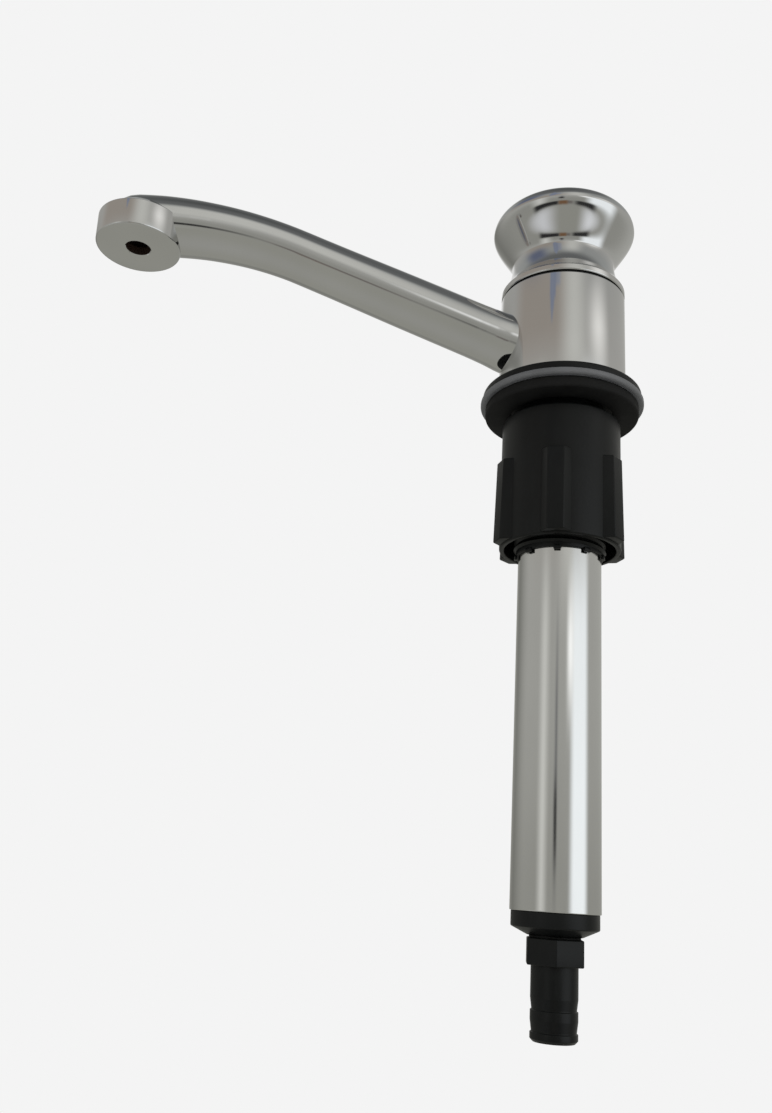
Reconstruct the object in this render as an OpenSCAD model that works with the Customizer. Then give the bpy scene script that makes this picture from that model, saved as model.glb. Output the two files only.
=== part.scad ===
// Hand water pump for a worktop, with a swivelling spout. Millimetres.
// The origin is the centre of the worktop seat: the gasket's lower face. +Z runs up the pump's axis.

/* [Barrel] */
// Outside diameter of the steel barrel
barrel_d = 25.4; // [22:0.1:26]
// Wall of the steel barrel
barrel_wall = 0.9; // [0.5:0.1:1.4]
// Length of the barrel below the worktop seat
barrel_below = 150.6; // [110:0.2:220]
// Height of the barrel's upper end above the worktop seat
barrel_above = 2.6; // [1:0.1:3.2]

/* [Worktop flange] */
// Diameter of the black gasket that meets the worktop
gasket_d = 49; // [44:0.2:56]
// Thickness of the gasket
gasket_t = 3.4; // [2:0.1:5]
// Rounding of the gasket's lower edge
gasket_round = 0.8; // [0.3:0.1:1.2]
// Diameter of the gray sealing ring
ring_d = 52.2; // [50:0.2:58]
// Thickness of the gray sealing ring
ring_t = 2.2; // [1.2:0.1:3.5]
// Diameter of the black rim on top
rim_d = 50.8; // [46:0.2:56]
// Thickness of the black rim
rim_t = 2.5; // [1.6:0.1:4]
// Rounding of the rim's upper edge
rim_round = 0.9; // [0.3:0.1:1.3]

/* [Shank] */
// Diameter of the threaded shank below the worktop
shank_d = 28.4; // [28:0.1:30]
// Length of the shank below the worktop seat
shank_below = 47.4; // [44:0.2:60]
// Height of the locating boss above the worktop seat
boss_up = 1.6; // [0.4:0.1:3]
// Wall of the locating boss outside the shank
boss_wall = 2.2; // [1.2:0.1:3]
// Number of small lugs that grip the barrel under the shank
lug_count = 9; // [4:1:12]
// Width of a lug
lug_w = 2.2; // [1:0.1:3]
// Length of a lug
lug_l = 0.9; // [0.4:0.1:2]
// Turn of the first lug about the pump's axis, degrees
lug_turn = 27; // [0:1:39]

/* [Clamp nut] */
// Diameter of the nut's sleeve
nut_d = 37.4; // [35.5:0.1:42]
// Length of the nut
nut_l = 42.4; // [34:0.2:50]
// Gap between the gasket and the nut as it is stored
nut_gap = 2.7; // [0.5:0.1:12]
// Length of the nut's thread, from its top
nut_thread_l = 21; // [10:0.5:28]
// Wall of the nut's lower skirt
nut_skirt_wall = 1.5; // [1:0.1:3]
// Number of grip ribs
grip_count = 6; // [4:1:8]
// Width of a grip rib at the sleeve
grip_w = 9.5; // [7:0.1:11]
// Width of a grip rib's outer face
grip_face_w = 5; // [3:0.1:6.5]
// Start of the grip ribs below the nut's top
grip_start = 15.4; // [8:0.2:20]
// Height of a rib over the sleeve at its upper end
grip_top_h = 2; // [1:0.1:3]
// Height of a rib over the sleeve at its lower end
grip_foot_h = 2.6; // [1.2:0.1:4]
// Heading of the first rib, degrees from the front
grip_turn = 3.8; // [0:0.2:59]

/* [Swivel body] */
// Diameter of the chromed body
body_d = 40.8; // [39:0.1:46]
// Height of the chromed body
body_h = 34.3; // [32:0.1:44]
// Wall of the body round its upper rim
body_wall = 3.35; // [2.8:0.05:4.5]
// Depth of the water gallery cut inside the body
gallery_cut = 1.35; // [0.6:0.05:1.8]
// Height of the water gallery
gallery_h = 16.5; // [13:0.5:18]

/* [Spout] */
// Diameter of the spout where it leaves the body
spout_d = 17.9; // [16:0.1:22]
// Diameter of the spout through its bend
bend_d = 17.2; // [16:0.1:22]
// Diameter of the water passage in the spout
passage_d = 11.6; // [8:0.1:12.6]
// Height of the spout's axis above the body's lower edge, where it leaves the body
spout_up = 16.8; // [14:0.1:20]
// Rise of the straight stretch, degrees
spout_rise = 15.6; // [8:0.2:20]
// Distance from the pump's axis to the start of the bend
bend_start = 88; // [60:1:110]
// Radius of the bend
bend_r = 112; // [80:1:160]
// Distance from the pump's axis to the outlet
reach = 139.5; // [125:0.5:160]
// Diameter of the outlet head
head_d = 26.2; // [22:0.1:30]
// Depth of the head's face below the end of the spout's axis
head_drop = 8.3; // [8:0.1:12]
// Height of the head's upright wall
head_wall_h = 8.7; // [6:0.1:14]
// Rise of the head's conical top
cone_h = 9.3; // [6:0.1:12]
// Diameter of the flat on that cone
cone_flat_d = 5; // [2:0.1:10]
// Diameter of the drilled outlet
outlet_d = 7.6; // [5:0.1:9]
// Depth of the drilled outlet, up to the chamber over it
outlet_l = 3; // [2:0.1:4]
// Turn of the spout about the pump's axis, degrees from +X
spout_turn = 200; // [0:5:355]

/* [Knob] */
// Height of the knob
knob_h = 32.2; // [30:0.1:40]
// Diameter of the knob's foot
foot_d = 40.8; // [39:0.1:46]
// Height of the upright lip on the foot
foot_lip = 1.9; // [0.8:0.1:3]
// Diameter of the knob's neck
neck_d = 34; // [31:0.1:37]
// Height of the neck above the foot
neck_up = 12.5; // [10:0.1:15]
// Diameter of the knob's rim
knob_rim_d = 47.5; // [42:0.1:54]
// Height of the rim's widest line above the foot
knob_rim_up = 25.6; // [21:0.1:26.5]
// Diameter of the knob's low crown
crown_d = 33; // [26:0.1:36]
// Rise of the crown to its middle
crown_up = 0.6; // [0:0.1:2]
// Depth of the hollow under the knob
hollow_up = 8; // [4:0.1:9]

/* [Rod and piston] */
// Diameter of the pump rod
rod_d = 8; // [6:0.1:9]
// Length of rod held in the knob
rod_in_knob = 13; // [10:0.1:15]
// Height of the piston
piston_h = 10; // [8:0.1:14]
// Wall of the piston ring, across the cord
piston_ring_w = 2.3; // [1.6:0.1:2.6]
// Height of the piston ring
piston_ring_h = 4.6; // [3:0.1:6]
// Diameter of a water port through the piston
piston_port_d = 3; // [2:0.1:3.2]
// Number of ports through the piston
piston_port_count = 6; // [4:1:8]
// Thickness of the rubber valve disc
disc_t = 1.5; // [1:0.1:2.5]
// Lift of the valve disc
disc_lift = 2.05; // [1:0.05:4]
// Thickness of the stop washer
stop_t = 1.5; // [1:0.1:2.5]
// Height of the nut under the piston
piston_nut_h = 3.4; // [2.6:0.1:5]
// Width across flats of the nut under the piston
piston_nut_af = 13; // [12:0.1:15]

/* [Foot valve] */
// Diameter of the foot cap's band
cap_d = 24.6; // [23:0.1:27]
// Height of the foot cap's band
cap_band_h = 4.1; // [3:0.1:8]
// Height of the slope under the band
cap_slope_h = 2.1; // [1:0.1:4]
// Height of the plug inside the barrel
plug_h = 15.6; // [15:0.1:24]
// Diameter of the valve ball
ball_d = 10; // [9.2:0.1:11]
// Lift of the valve ball
ball_lift = 2.5; // [1.5:0.1:3.5]
// Diameter of the opening under the ball
seat_d = 7.2; // [6:0.1:8]
// Thickness of the web that holds the seat
web_t = 2; // [1.4:0.1:3]
// Thickness of the pierced disc over the ball
spider_t = 2; // [1.2:0.1:3]
// Width of an arm of the pierced disc
spider_arm = 2.6; // [1.6:0.1:3.4]

/* [Hose tail] */
// Width across flats of the hexagon
hex_af = 15.4; // [15:0.1:18]
// Height of the hexagon
hex_h = 7; // [5:0.1:10]
// Diameter of the hose spigot and its barbs
tail_d = 13; // [12:0.1:13.6]
// Bore of the hose tail
tail_bore_d = 8.4; // [7:0.1:9]
// Length of the plain spigot below the hexagon
tail_plain_l = 8.2; // [6:0.1:14]
// Number of barbs
barb_count = 2; // [1:1:4]
// Length of one barb with the groove above it
barb_l = 5.5; // [3:0.1:7]
// Depth of the grooves between the barbs
barb_cut = 0.35; // [0.2:0.05:0.6]
// Turn of the hexagon about the pump's axis, degrees
hex_turn = 33; // [0:1:59]
// Thickness of the washer over the hexagon
tail_washer_t = 0.6; // [0.4:0.1:2]

/* [Hidden] */
$fn = 96;

// Clearances: a shaft in its hole, a seat, a part that passes another, and the overrun of every cut
run = 0.04;
seat = 0.1;
pass = 0.3;
cut = 1;

// Small sizes of single pieces
edge = 0.5;
cord = 1.9;
cord_room = 0.4;
tube_seal_t = 1.4;
guide_rim_t = 0.5;
guide_rim_in = 0.4;
guide_flange_h = 2.4;
guide_boss_l = 9;
guide_thread_wall = 3.8;
rod_seal_w = 1.8;
rod_seal_under = 3;
port_d = 6.4;
port_count = 6;
seal_from_edge = 4;
cap_cord = 1.6;
knob_wall = 3;
knob_hub_wall = 4;
plug_thread_d = 12.5;
spider_rim = 2.1;
piston_above_cap = 2.6;
rod_past_nut = 0.6;
disc_over_ports = 0.9;
throat_gap = 1;
cap_seal_up = 4.6;
nut_chamfer = 0.6;
grip_lift = 0.5;
grip_bevel = 0.3;
tip_bevel = 0.8;

// Heights of the flange stack and of the body, from the worktop seat up
ring_z = gasket_t;
rim_z = ring_z + ring_t;
body_z = rim_z + rim_t + seat;
body_top = body_z + body_h;
guide_floor_z = body_top - guide_flange_h;
spigot_top = guide_floor_z + seat;
guide_rim_z = body_top + seat;
knob_z = guide_rim_z + guide_rim_t + pass;
gallery_z = body_z + (body_h - gallery_h) / 2 - guide_flange_h / 2;
port_z = gallery_z + gallery_h / 2;

// Radii of the body, the spigot inside it and the bores
barrel_r = barrel_d / 2;
bore_r = barrel_r - barrel_wall;
body_r = body_d / 2;
body_bore_r = body_r - body_wall;
spigot_r = body_bore_r - run;
guide_flange_r = body_r - body_wall / 2;
guide_rim_r = body_r - guide_rim_in;
thread_r = spigot_r - guide_thread_wall;
shank_r = shank_d / 2;
nut_r = nut_d / 2;
boss_r = shank_r + boss_wall;
rod_r = rod_d / 2;

// Heights below the worktop, from the barrel's lower end
barrel_z = -barrel_below;
cap_foot_z = barrel_z - cap_band_h - cap_slope_h;
cap_foot_r = hex_af / 2;
plug_top = barrel_z + plug_h;
spider_z = plug_top - spider_t;
ball_rise = sqrt(pow(ball_d / 2, 2) - pow(seat_d / 2, 2)) + run;
seat_z = spider_z - ball_lift - ball_d / 2 - ball_rise;
web_z = seat_z - web_t;
piston_nut_z = plug_top + piston_above_cap;
piston_z = piston_nut_z + piston_nut_h;
disc_z = piston_z + piston_h + run;
stop_z = disc_z + disc_t + disc_lift;
piston_r = bore_r - pass;
groove_z = piston_z + (piston_h - piston_ring_h) / 2;
port_circle_r = (rod_r + piston_r - piston_ring_w) / 2;
disc_r = port_circle_r + piston_port_d / 2 + disc_over_ports;
throat_r = disc_r + throat_gap;
hex_z = cap_foot_z - tail_washer_t - hex_h;
tail_r = tail_d / 2;
tip_z = hex_z - tail_plain_l - barb_count * barb_l;
nut_z = -nut_gap - nut_l;
cap_seal_z = barrel_z + cap_seal_up;

// The spout in its own upright plane, where s is the distance from the pump's axis
spout_r = spout_d / 2;
bend_bar_r = bend_d / 2;
spout_z = body_z + spout_up;
bend_start_z = spout_z + (bend_start - body_r) * tan(spout_rise);
bend_s = bend_start + bend_r * sin(spout_rise);
bend_z = bend_start_z - bend_r * cos(spout_rise);
end_fall = asin((reach - bend_s) / bend_r);
head_z = bend_z + bend_r * cos(end_fall) - head_drop;
head_r = head_d / 2;
arm_fall = asin((reach - head_r / 2 - bend_s) / bend_r);
arm_back = (bend_start - body_bore_r) / cos(spout_rise);

// Shares of the knob's curves: how far each handle reaches along its stretch
cove_shares = [0.35, 0.2, 0.3];
flare_shares = [0.2, 0.2];
brow_shares = [0.62, 0.5];
// Share of a barb that its groove takes
groove_share = 0.55;

function mix3(a, b, c, d, t) =
    a * pow(1 - t, 3) + 3 * b * t * pow(1 - t, 2) + 3 * c * t * t * (1 - t) + d * pow(t, 3);
function curve(a, b, c, d, n = 12) = [for (i = [0 : n]) mix3(a, b, c, d, i / n)];

module turned(points) {
    rotate_extrude($fn = 128) polygon(points);
}

module tube(r_out, r_in, z_low, z_high) {
    rotate_extrude() band(r_in, r_out, z_low, z_high);
}

module o_ring(outer_r, cord_d, z) {
    translate([0, 0, z]) rotate_extrude()
        translate([outer_r - cord_d / 2, 0]) circle(r = cord_d / 2, $fn = 32);
}

// Half of a ring's section, from radius r_in to r_out
module band(r_in, r_out, z_low, z_high) {
    translate([r_in, z_low]) square([r_out - r_in, z_high - z_low]);
}

// A band whose outer corners are rounded
module rounded_band(r_in, r_out, z_low, z_high, round_low, round_high) {
    difference() {
        band(r_in, r_out, z_low, z_high);
        band(r_out - round_low, r_out + cut, z_low - cut, z_low + round_low);
        band(r_out - round_high, r_out + cut, z_high - round_high, z_high + cut);
    }
    intersection() {
        translate([r_out - round_low, z_low + round_low]) circle(r = round_low, $fn = 48);
        band(r_out - round_low, r_out, z_low, z_low + round_low);
    }
    intersection() {
        translate([r_out - round_high, z_high - round_high]) circle(r = round_high, $fn = 48);
        band(r_out - round_high, r_out, z_high - round_high, z_high);
    }
}

module knob() {
    foot_r = foot_d / 2;
    neck_r = neck_d / 2;
    rim_r = knob_rim_d / 2;
    crown_r = crown_d / 2;
    hub_r = rod_r + knob_hub_wall;
    hollow_r = neck_r - knob_wall;
    cove = neck_up - foot_lip;
    flare = knob_rim_up - neck_up;
    crown_z = knob_h - crown_up;
    brow = crown_z - knob_rim_up;
    outline = concat(
        [[0, 0], [foot_r - edge, 0], [foot_r, edge]],
        curve([foot_r, foot_lip],
              [foot_r - (foot_r - neck_r) * cove_shares[0], foot_lip + cove * cove_shares[1]],
              [neck_r, neck_up - cove * cove_shares[2]], [neck_r, neck_up]),
        curve([neck_r, neck_up], [neck_r, neck_up + flare * flare_shares[0]],
              [rim_r, knob_rim_up - flare * flare_shares[1]], [rim_r, knob_rim_up]),
        curve([rim_r, knob_rim_up], [rim_r, knob_rim_up + brow * brow_shares[0]],
              [crown_r + (rim_r - crown_r) * brow_shares[1], crown_z], [crown_r, crown_z]),
        [[0, knob_h]]);
    color("silver") translate([0, 0, knob_z]) difference() {
        turned(outline);
        translate([0, 0, -cut]) cylinder(r = rod_r + run, h = rod_in_knob + cut);
        tube(hollow_r, hub_r, -cut, hollow_up);
    }
}

module pump_rod() {
    low = piston_nut_z - rod_past_nut;
    color("lightgray") translate([0, 0, low]) cylinder(r = rod_r, h = knob_z + rod_in_knob - low);
}

module rod_guide() {
    low = spigot_top - guide_boss_l;
    seal_low = low + rod_seal_under - cord_room / 2;
    color("dimgray") rotate_extrude() difference() {
        union() {
            band(rod_r + run, thread_r - run, low, spigot_top);
            band(rod_r + run, guide_flange_r - seat, spigot_top, guide_rim_z);
            band(rod_r + run, guide_rim_r, guide_rim_z, guide_rim_z + guide_rim_t);
        }
        band(0, rod_r + run + rod_seal_w, seal_low, seal_low + rod_seal_w + cord_room);
    }
}

module rod_seal() {
    color("dimgray") o_ring(rod_r + run + rod_seal_w, rod_seal_w,
                            spigot_top - guide_boss_l + rod_seal_under + rod_seal_w / 2);
}

// The spout's own place: the end of its straight stretch, with +X along that stretch
module on_spout() {
    rotate([0, 0, spout_turn]) translate([bend_start, 0, bend_start_z])
        rotate([0, -spout_rise, 0]) children();
}

// The bend's sweep about its centre, for a section drawn in the plane across the spout's axis
module bend_sweep(turn) {
    translate([0, 0, -bend_r]) rotate([0, -90, -90]) rotate_extrude(angle = turn, $fn = 360) children();
}

// The spout's outside: a straight stretch that narrows towards the bend, and the bend
module spout_outside() {
    rotate([0, -90, 0]) cylinder(r1 = bend_bar_r, r2 = spout_r, h = arm_back, $fn = 72);
    bend_sweep(spout_rise + arm_fall) translate([bend_r, 0]) circle(r = bend_bar_r, $fn = 72);
}

module passage() {
    rotate([0, -90, 0]) cylinder(r = passage_d / 2, h = arm_back + body_wall, $fn = 72);
    bend_sweep(spout_rise + end_fall) translate([bend_r, 0]) circle(r = passage_d / 2, $fn = 72);
}

// The outlet head: an upright drum with a conical top that runs up to the spout's back
module spout_head() {
    rotate([0, 0, spout_turn]) translate([reach, 0, head_z])
        turned([[0, 0], [head_r - edge, 0], [head_r, edge], [head_r, head_wall_h],
                [cone_flat_d / 2, head_wall_h + cone_h], [0, head_wall_h + cone_h]]);
}

module spout_arm() {
    color("silver") difference() {
        union() {
            on_spout() spout_outside();
            spout_head();
        }
        translate([0, 0, body_z - spout_r]) cylinder(r = body_r + run, h = body_h + 2 * spout_r);
        on_spout() passage();
        rotate([0, 0, spout_turn]) translate([reach, 0, head_z]) {
            translate([0, 0, -cut]) cylinder(r = outlet_d / 2, h = outlet_l + 2 * cut);
            translate([0, 0, outlet_l]) cylinder(r = passage_d / 2 + edge, h = head_drop - outlet_l);
        }
    }
}

module swivel_body() {
    color("silver") difference() {
        rotate_extrude($fn = 128) difference() {
            polygon([[body_bore_r, body_z], [body_r - edge, body_z], [body_r, body_z + edge],
                     [body_r, body_top], [guide_flange_r, body_top], [guide_flange_r, guide_floor_z],
                     [body_bore_r, guide_floor_z]]);
            band(0, body_bore_r + gallery_cut, gallery_z, gallery_z + gallery_h);
        }
        on_spout() rotate([0, -90, 0]) cylinder(r = passage_d / 2, h = arm_back + body_wall);
    }
}

module swivel_seals() {
    for (z = [body_z + seal_from_edge, guide_floor_z - seal_from_edge])
        color("dimgray") o_ring(spigot_r, cord, z);
}

module pump_head() {
    shoulder_z = barrel_above + tube_seal_t;
    groove_h = cord + cord_room;
    color("dimgray") difference() {
        union() {
            rotate_extrude($fn = 128) difference() {
                union() {
                    band(0, shank_r, -shank_below, rim_z);
                    band(0, boss_r, boss_up, rim_z);
                    rounded_band(0, rim_d / 2, rim_z, rim_z + rim_t, edge, rim_round);
                    band(0, spigot_r, rim_z, spigot_top);
                }
                band(-cut, barrel_r + run, -shank_below - cut, shoulder_z);
                band(-cut, throat_r, shoulder_z - cut, spigot_top + cut);
                band(-cut, thread_r, spigot_top - guide_boss_l - seat, spigot_top + cut);
                for (z = [body_z + seal_from_edge, guide_floor_z - seal_from_edge])
                    band(spigot_r - cord - run, spigot_r + cut, z - groove_h / 2, z + groove_h / 2);
            }
            for (i = [0 : lug_count - 1]) rotate([0, 0, lug_turn + i * 360 / lug_count])
                translate([barrel_r + pass, -lug_w / 2, -shank_below - lug_l])
                    cube([shank_r - barrel_r - 2 * pass, lug_w, lug_l + edge]);
        }
        for (i = [0 : port_count - 1]) rotate([0, 0, (i + 0.5) * 360 / port_count])
            translate([throat_r / 2, 0, port_z]) rotate([0, 90, 0])
                cylinder(r = port_d / 2, h = spigot_r);
    }
}

module sealing_ring() {
    color("gray") rotate_extrude($fn = 128)
        rounded_band(boss_r + pass, ring_d / 2, ring_z, rim_z, edge, edge);
}

module bench_gasket() {
    color("dimgray") rotate_extrude($fn = 128)
        rounded_band(boss_r + pass, gasket_d / 2, 0, ring_z, gasket_round, edge);
}

// One grip rib: its outer face leans out towards its foot, and its flanks slope down to the sleeve
module grip_rib() {
    top = -nut_gap - grip_start;
    low = nut_z + grip_lift;
    outer_top = nut_r + grip_top_h;
    outer_foot = nut_r + grip_foot_h;
    inside = nut_r - nut_skirt_wall / 2;
    intersection() {
        rotate([90, 0, 0]) translate([0, 0, -grip_w]) linear_extrude(2 * grip_w)
            polygon([[inside, top], [outer_top - edge, top], [outer_top, top - edge],
                     [outer_foot, low + grip_bevel], [outer_foot - grip_bevel, low], [inside, low]]);
        translate([0, 0, low - cut]) linear_extrude(top - low + 2 * cut)
            polygon([[inside - cut, -grip_w / 2], [inside, -grip_w / 2],
                     [outer_top - edge, -grip_face_w / 2], [outer_foot + cut, -grip_face_w / 2],
                     [outer_foot + cut, grip_face_w / 2], [outer_top - edge, grip_face_w / 2],
                     [inside, grip_w / 2], [inside - cut, grip_w / 2]]);
    }
}

module clamp_nut() {
    top = -nut_gap;
    skirt_r = nut_r - nut_skirt_wall;
    thread_z = top - nut_thread_l;
    color("dimgray") {
        turned([[shank_r + run, top], [nut_r - nut_chamfer, top], [nut_r, top - nut_chamfer],
                [nut_r, nut_z + nut_chamfer], [nut_r - nut_chamfer, nut_z], [skirt_r, nut_z],
                [skirt_r, thread_z], [shank_r + run, thread_z]]);
        for (i = [0 : grip_count - 1]) rotate([0, 0, -90 - grip_turn + i * 360 / grip_count]) grip_rib();
    }
}

module cylinder_tube() {
    color("lightgray") tube(barrel_r, bore_r, barrel_z, barrel_above);
}

module tube_seal() {
    color("dimgray") tube(barrel_r, bore_r + run, barrel_above, barrel_above + tube_seal_t);
}

module piston_body() {
    color("white") difference() {
        translate([0, 0, piston_z]) cylinder(r = piston_r, h = piston_h);
        translate([0, 0, piston_z - cut]) cylinder(r = rod_r + run, h = piston_h + 2 * cut);
        tube(piston_r + cut, piston_r - piston_ring_w, groove_z, groove_z + piston_ring_h);
        for (i = [0 : piston_port_count - 1]) rotate([0, 0, i * 360 / piston_port_count])
            translate([port_circle_r, 0, piston_z - cut])
                cylinder(r = piston_port_d / 2, h = piston_h + 2 * cut);
    }
}

module piston_seal() {
    color("dimgray") tube(bore_r - run, piston_r - piston_ring_w + run,
                         groove_z + seat, groove_z + piston_ring_h - seat);
}

module piston_valve() {
    color("dimgray") tube(disc_r, rod_r + pass, disc_z, disc_z + disc_t);
}

module valve_stop() {
    color("lightgray") tube(disc_r - piston_port_d / 2, rod_r + run, stop_z, stop_z + stop_t);
}

module piston_nut() {
    color("lightgray") difference() {
        translate([0, 0, piston_nut_z]) cylinder(r = piston_nut_af / sqrt(3), h = piston_nut_h, $fn = 6);
        translate([0, 0, piston_nut_z - cut]) cylinder(r = rod_r + run, h = piston_nut_h + 2 * cut);
    }
}

module foot_cap() {
    band_z = barrel_z - cap_band_h;
    plug_r = bore_r - run;
    stop_r = plug_r - cap_cord - run - spider_rim;
    groove_low = cap_seal_z - (cap_cord + cord_room) / 2;
    color("dimgray") rotate_extrude() difference() {
        polygon([[0, cap_foot_z], [cap_foot_r, cap_foot_z], [cap_d / 2, band_z], [cap_d / 2, barrel_z],
                 [plug_r, barrel_z], [plug_r, plug_top], [0, plug_top]]);
        band(plug_r - cap_cord - run, plug_r + cut, groove_low, groove_low + cap_cord + cord_room);
        band(-cut, plug_thread_d / 2, cap_foot_z - cut, web_z);
        band(-cut, seat_d / 2, web_z - cut, seat_z + cut);
        band(-cut, stop_r - spider_rim / 2, seat_z, plug_top + cut);
        band(-cut, stop_r, spider_z, plug_top + cut);
    }
}

module cap_seal() {
    color("dimgray") o_ring(bore_r - run, cap_cord, cap_seal_z);
}

module foot_ball() {
    color("lightgray") translate([0, 0, seat_z + ball_rise]) sphere(r = ball_d / 2);
}

module ball_stop() {
    stop_r = bore_r - cap_cord - spider_rim - 3 * run;
    color("dimgray") {
        tube(stop_r, stop_r - spider_rim, spider_z, plug_top);
        for (a = [0, 90]) rotate([0, 0, a])
            translate([edge - stop_r, -spider_arm / 2, spider_z])
                cube([2 * stop_r - 2 * edge, spider_arm, spider_t]);
    }
}

module tail_washer() {
    color("dimgray") tube(cap_foot_r - edge, plug_thread_d / 2, cap_foot_z - tail_washer_t, cap_foot_z);
}

// One barb with the groove above it: the groove narrows towards the tip and ends in a ledge
function barb(i) = let (z = hex_z - tail_plain_l - i * barb_l, groove_l = barb_l * groove_share)
    [[tail_r, z], [tail_r - barb_cut, z - groove_l + barb_cut], [tail_r - barb_cut, z - groove_l],
     [tail_r, z - groove_l]];

module hose_tail() {
    thread_top = web_z - seat;
    thread_r = plug_thread_d / 2 - run;
    bore = tail_bore_d / 2;
    color("dimgray") {
        turned(concat([[bore, thread_top], [thread_r, thread_top], [thread_r, hex_z], [tail_r, hex_z]],
                      [for (i = [0 : barb_count - 1]) each barb(i)],
                      [[tail_r, tip_z + tip_bevel], [tail_r - tip_bevel, tip_z], [bore, tip_z]]));
        difference() {
            rotate([0, 0, hex_turn]) translate([0, 0, hex_z])
                cylinder(r = hex_af / sqrt(3), h = hex_h, $fn = 6);
            translate([0, 0, hex_z - cut]) cylinder(r = (bore + thread_r) / 2, h = hex_h + 2 * cut);
        }
    }
}

knob();
pump_rod();
rod_guide();
rod_seal();
swivel_body();
spout_arm();
swivel_seals();
pump_head();
sealing_ring();
bench_gasket();
clamp_nut();
cylinder_tube();
tube_seal();
piston_body();
piston_seal();
piston_valve();
valve_stop();
piston_nut();
foot_cap();
cap_seal();
foot_ball();
ball_stop();
tail_washer();
hose_tail();
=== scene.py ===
import math

import bmesh
import bpy
from mathutils import Matrix, Vector


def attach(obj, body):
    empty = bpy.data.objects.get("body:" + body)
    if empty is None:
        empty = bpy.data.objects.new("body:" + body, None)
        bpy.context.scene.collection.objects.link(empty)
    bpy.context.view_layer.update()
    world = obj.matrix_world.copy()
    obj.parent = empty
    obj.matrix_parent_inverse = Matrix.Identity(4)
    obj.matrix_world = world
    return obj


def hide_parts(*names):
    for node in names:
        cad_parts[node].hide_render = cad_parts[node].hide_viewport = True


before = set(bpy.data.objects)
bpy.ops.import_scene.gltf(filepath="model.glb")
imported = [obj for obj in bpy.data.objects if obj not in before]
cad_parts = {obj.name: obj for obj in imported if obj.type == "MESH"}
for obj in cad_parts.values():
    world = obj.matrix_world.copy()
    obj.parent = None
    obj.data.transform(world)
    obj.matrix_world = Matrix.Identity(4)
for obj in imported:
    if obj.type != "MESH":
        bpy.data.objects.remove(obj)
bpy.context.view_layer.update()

# Sizes are written in millimetres, as in the part's source, and turned into metres here
MM = 0.001
GASKET_R = 24.5
GASKET_TOP = 3.4
RING_R = 26.1
RING_TOP = 5.6
RIM_R = 25.4
RIM_TOP = 8.1
BOSS_R = 16.4
BOSS_LOW = 1.6
SHANK_R = 14.2
SHANK_CORE_R = 13.45
SHANK_END = -47.4
THREAD_R = 13.43
THREAD_SECTION = 0.74
THREAD_PITCH = 2.0
THREAD_L = 43.0
LUG_COUNT = 9
LUG_TURN = 27
BARREL_R = 12.7
BARREL_BORE_R = 11.8
BARREL_END = -150.6
NUT_R = 18.7
NUT_TOP = -2.7
NUT_END = -45.1
NUT_BORE_L = 21
NUT_SKIRT_WALL = 1.5
RIB_COUNT = 6
RIB_TURN = -90 - 3.8
BODY_R = 20.4
BODY_BORE_R = 17.05
BODY_LOW = 8.2
BODY_TOP = 42.5
GUIDE_FLOOR = 40.1
GUIDE_R = 18.6
GUIDE_RIM_R = 20.0
GUIDE_RIM_LOW = 42.6
GUIDE_TOP = 43.1
GUIDE_PLUG_R = 13.1
SPIGOT_R = 17.01
SPIGOT_BORE_R = 13.25
THROAT_R = 10.0
THROAT_LOW = 4.0
THROAT_TOP = 31.1
# The gap between a hole and the round piece in it
SLIDE_GAP = 0.04
KNOB_Z = 43.4
ROD_R = 4.0
SPOUT_TURN = 200
SPOUT_RISE = math.radians(15.6)
SPOUT_Z = 25.0
BEND_START = 88.0
BEND_R = 112.0
REACH = 139.5
PASSAGE_R = 5.8
HEAD_DROP = 8.3
OUTLET_R = 3.8
OUTLET_L = 3.0
CAP_R = 12.3
CAP_LOW = -156.8
CAP_LIP_TOP = -150.62
CAP_PLUG_R = 11.76
CAP_TOP = -135.0
CAP_BORE_R = 5.9
CAP_BORE_END = -146.5
HEX_ACROSS = 15.4
HEX_LOW = -164.4
HEX_TOP = -157.4
HEX_TURN = 33
TAIL_R = 6.5
TAIL_GROOVE_R = 6.15
TAIL_BORE_R = 4.2
TAIL_TOP = -150.0
TAIL_END = -183.6


# Shapes

def rounded(corners):
    """The outline through (radius, height, rounding) corners, with an arc where the rounding isn't zero."""
    steps = 6
    points = []
    count = len(corners)
    for i in range(count):
        corner = Vector(corners[i][:2])
        size = corners[i][2]
        if size <= 0:
            points.append(tuple(corner))
            continue
        before = Vector(corners[i - 1][:2]) - corner
        after = Vector(corners[(i + 1) % count][:2]) - corner
        half = before.angle(after) / 2
        reach = min(size / math.tan(half), before.length * 0.49, after.length * 0.49)
        size = reach * math.tan(half)
        start = corner + before.normalized() * reach
        middle = corner + (before.normalized() + after.normalized()).normalized() * size / math.sin(half)
        first = start - middle
        last = corner + after.normalized() * reach - middle
        turn = math.atan2(first.x * last.y - first.y * last.x, first.dot(last))
        for k in range(steps + 1):
            a = turn * k / steps
            points.append((middle.x + first.x * math.cos(a) - first.y * math.sin(a),
                           middle.y + first.x * math.sin(a) + first.y * math.cos(a)))
    return points


def bend_curve(a, b, c, d, steps=28):
    """Points on the curve from a to d that leaves towards b and arrives from c."""
    points = []
    for i in range(steps + 1):
        t = i / steps
        u = 1 - t
        points.append(tuple(a[k] * u ** 3 + 3 * b[k] * t * u * u + 3 * c[k] * t * t * u + d[k] * t ** 3
                            for k in (0, 1)))
    return points


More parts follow.
